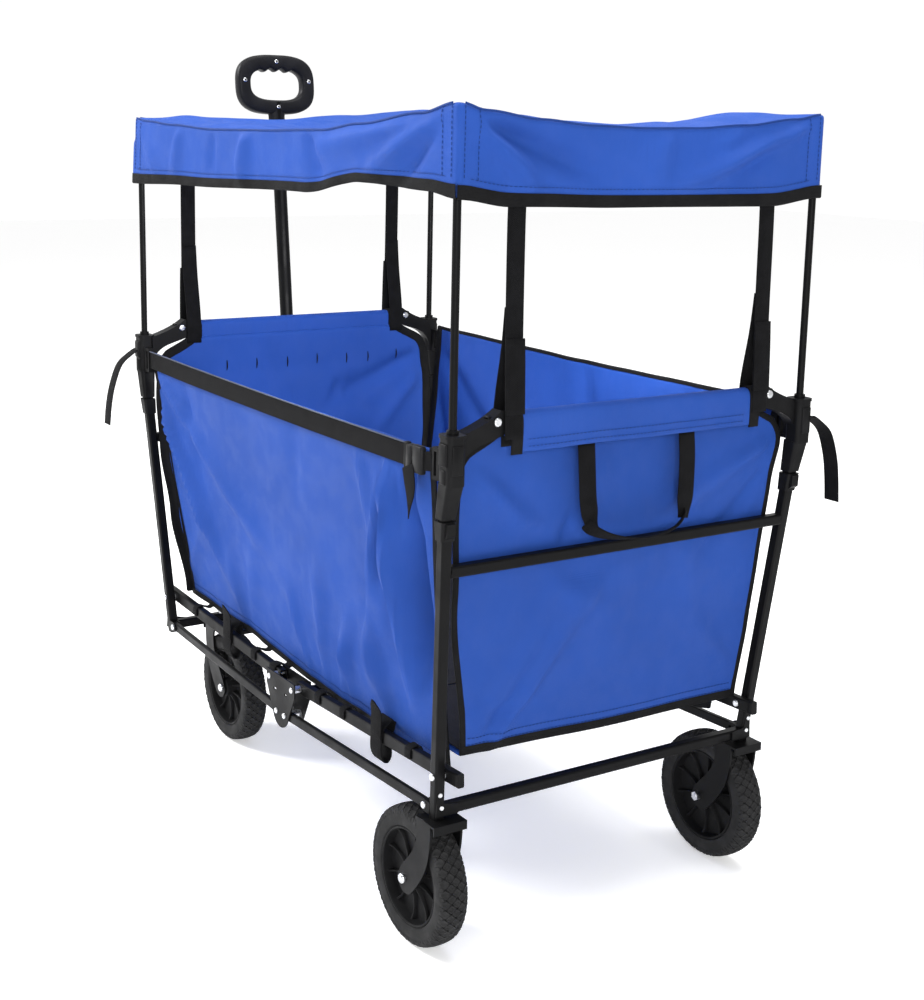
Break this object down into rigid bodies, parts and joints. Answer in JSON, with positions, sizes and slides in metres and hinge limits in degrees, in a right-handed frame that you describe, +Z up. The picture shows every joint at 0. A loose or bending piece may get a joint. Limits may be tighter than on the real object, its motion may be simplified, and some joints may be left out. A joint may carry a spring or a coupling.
{
  "type": "folding utility wagon",
  "caption": "Folding wagon with fabric basket, lift-off canopy, telescoping pull handle, fixed rear wheels and swivel front casters.",
  "frame": {"origin": "on the floor, under the middle of the wagon's outline in plan", "axes": "+Z up; X along the length, with the pull handle at -X (front) and the fixed wheels at +X (rear); Y across, left side at -Y"},
  "size_m": [1.0825, 0.7032, 1.1858],
  "materials": {
    "frame_paint": "semi-gloss black powder coat",
    "bracket_plastic": "matt black moulding",
    "fastener_steel": "zinc plated",
    "tyre_rubber": "matt dark grey",
    "rim_plastic": "satin black",
    "blue_fabric": "plain woven polyester with a soft sheen",
    "webbing": "ribbed black webbing",
    "mat_fabric": "padded black cloth over boards",
    "canopy_fabric": "plain woven polyester with a black binding",
    "buckle_plastic": "satin black"
  },
  "bodies": {
    "root": {"rear_posts": "frame_paint", "rear_lower_bar": "frame_paint", "rear_middle_bar": "frame_paint", "rear_top_rail": "frame_paint", "rear_corner_brackets": "bracket_plastic", "rear_gussets": "frame_paint", "rear_fasteners": "fastener_steel", "rear_forks": "frame_paint", "rear_panel": "blue_fabric", "carry_loop": "webbing", "side_panel_left": "blue_fabric", "side_panel_right": "blue_fabric", "basket_floor": "blue_fabric", "floor_mat": "mat_fabric", "side_straps": "webbing", "buckle_left": "buckle_plastic"},
    "rear_wheel_left": {"rear_tyre_left": "tyre_rubber", "rear_rim_left": "rim_plastic"},
    "rear_wheel_right": {"rear_tyre_right": "tyre_rubber", "rear_rim_right": "rim_plastic"},
    "rear_rails": {"rear_side_rails": "frame_paint", "rear_rail_caps": "bracket_plastic", "rear_floor_bar": "frame_paint"},
    "rear_links": {"rear_link_bars": "frame_paint"},
    "middle": {"middle_brackets": "frame_paint", "middle_pins": "fastener_steel", "middle_cross_tube": "frame_paint"},
    "front_rails": {"front_side_rails": "frame_paint", "front_rail_caps": "bracket_plastic", "front_floor_bar": "frame_paint"},
    "front_links": {"front_link_bars": "frame_paint"},
    "front_frame": {"front_posts": "frame_paint", "front_lower_bar": "frame_paint", "front_middle_bar": "frame_paint", "front_top_rail": "frame_paint", "front_corner_brackets": "bracket_plastic", "front_gussets": "frame_paint", "front_fasteners": "fastener_steel", "front_panel": "blue_fabric", "handle_bracket": "frame_paint", "buckle_right": "buckle_plastic", "caster_stems": "fastener_steel"},
    "caster_left": {"caster_fork_left": "frame_paint", "caster_axle_left": "fastener_steel"},
    "caster_right": {"caster_fork_right": "frame_paint", "caster_axle_right": "fastener_steel"},
    "front_wheel_left": {"front_tyre_left": "tyre_rubber", "front_rim_left": "rim_plastic"},
    "front_wheel_right": {"front_tyre_right": "tyre_rubber", "front_rim_right": "rim_plastic"},
    "handle_lower": {"handle_lower_tube": "frame_paint", "handle_collar": "bracket_plastic"},
    "handle_button": {"handle_button": "bracket_plastic"},
    "handle_upper": {"handle_upper_tube": "frame_paint", "handle_grip": "bracket_plastic"},
    "canopy_rear": {"canopy_poles_rear": "frame_paint", "canopy_cover": "canopy_fabric", "canopy_straps_rear": "webbing"},
    "canopy_front": {"canopy_poles_front": "frame_paint", "canopy_straps_front": "webbing"}
  },
  "joints": [
    {"name": "fold", "type": "hinge", "parent": "root", "child": "rear_rails", "pos_m": [0.47163, 0, 0.2565], "axis": [0, 1, 0], "range_deg": [0, 82], "deforming": ["side_panel_left", "side_panel_right", "basket_floor", "floor_mat", "side_straps", "canopy_cover"]},
    {"name": "middle_pivot_rear", "type": "hinge", "parent": "rear_rails", "child": "middle", "pos_m": [0.07225, 0, 0.2405], "axis": [0, 1, 0], "range_deg": [-82, 0]},
    {"name": "middle_pivot_front", "type": "hinge", "parent": "middle", "child": "front_rails", "pos_m": [-0.00175, 0, 0.2405], "axis": [0, 1, 0], "range_deg": [-82, 0]},
    {"name": "front_post_pivot", "type": "hinge", "parent": "front_rails", "child": "front_frame", "pos_m": [-0.40113, 0, 0.2565], "axis": [0, 1, 0], "range_deg": [0, 82]},
    {"name": "rear_link_pivot", "type": "hinge", "parent": "root", "child": "rear_links", "pos_m": [0.44763, 0, 0.2085], "axis": [0, 1, 0], "range_deg": [0, 82]},
    {"name": "front_link_pivot", "type": "hinge", "parent": "front_frame", "child": "front_links", "pos_m": [-0.37713, 0, 0.2085], "axis": [0, 1, 0], "range_deg": [-82, 0]},
    {"name": "rear_wheel_left_spin", "type": "hinge", "parent": "root", "child": "rear_wheel_left", "pos_m": [0.41525, -0.256, 0.095], "axis": [0, 1, 0], "continuous": true},
    {"name": "caster_left_swivel", "type": "hinge", "parent": "front_frame", "child": "caster_left", "pos_m": [-0.396, -0.17, 0.1875], "axis": [0, 0, 1], "continuous": true},
    {"name": "front_wheel_left_spin", "type": "hinge", "parent": "caster_left", "child": "front_wheel_left", "pos_m": [-0.346, -0.17, 0.095], "axis": [0, 1, 0], "continuous": true},
    {"name": "rear_wheel_right_spin", "type": "hinge", "parent": "root", "child": "rear_wheel_right", "pos_m": [0.41525, 0.256, 0.095], "axis": [0, 1, 0], "continuous": true},
    {"name": "caster_right_swivel", "type": "hinge", "parent": "front_frame", "child": "caster_right", "pos_m": [-0.396, 0.17, 0.1875], "axis": [0, 0, 1], "continuous": true},
    {"name": "front_wheel_right_spin", "type": "hinge", "parent": "caster_right", "child": "front_wheel_right", "pos_m": [-0.346, 0.17, 0.095], "axis": [0, 1, 0], "continuous": true},
    {"name": "handle_pivot", "type": "hinge", "parent": "front_frame", "child": "handle_lower", "pos_m": [-0.42175, 0, 0.2055], "axis": [0, 1, 0], "range_deg": [-84, 0]},
    {"name": "handle_extend", "type": "slide", "parent": "handle_lower", "child": "handle_upper", "axis": [-0.1097, 0, 0.994], "range_m": [-0.3, 0]},
    {"name": "handle_button_press", "type": "slide", "parent": "handle_lower", "child": "handle_button", "axis": [0.994, 0, 0.1097], "range_m": [0, 0.003], "stiffness_N_per_m": 400},
    {"name": "canopy_lift", "type": "slide", "parent": "root", "child": "canopy_rear", "axis": [0, 0, 1], "range_m": [0, 0.3]},
    {"name": "canopy_lift_front", "type": "slide", "parent": "front_frame", "child": "canopy_front", "axis": [0, 0, 1], "range_m": [0, 0.3]}
  ],
  "couplings": [
    {"joint": "middle_pivot_rear", "follows": "fold", "ratio": -1},
    {"joint": "middle_pivot_front", "follows": "fold", "ratio": -1},
    {"joint": "front_post_pivot", "follows": "fold", "ratio": 1},
    {"joint": "rear_link_pivot", "follows": "fold", "ratio": 1},
    {"joint": "front_link_pivot", "follows": "fold", "ratio": -1},
    {"joint": "canopy_lift_front", "follows": "canopy_lift", "ratio": 1}
  ]
}
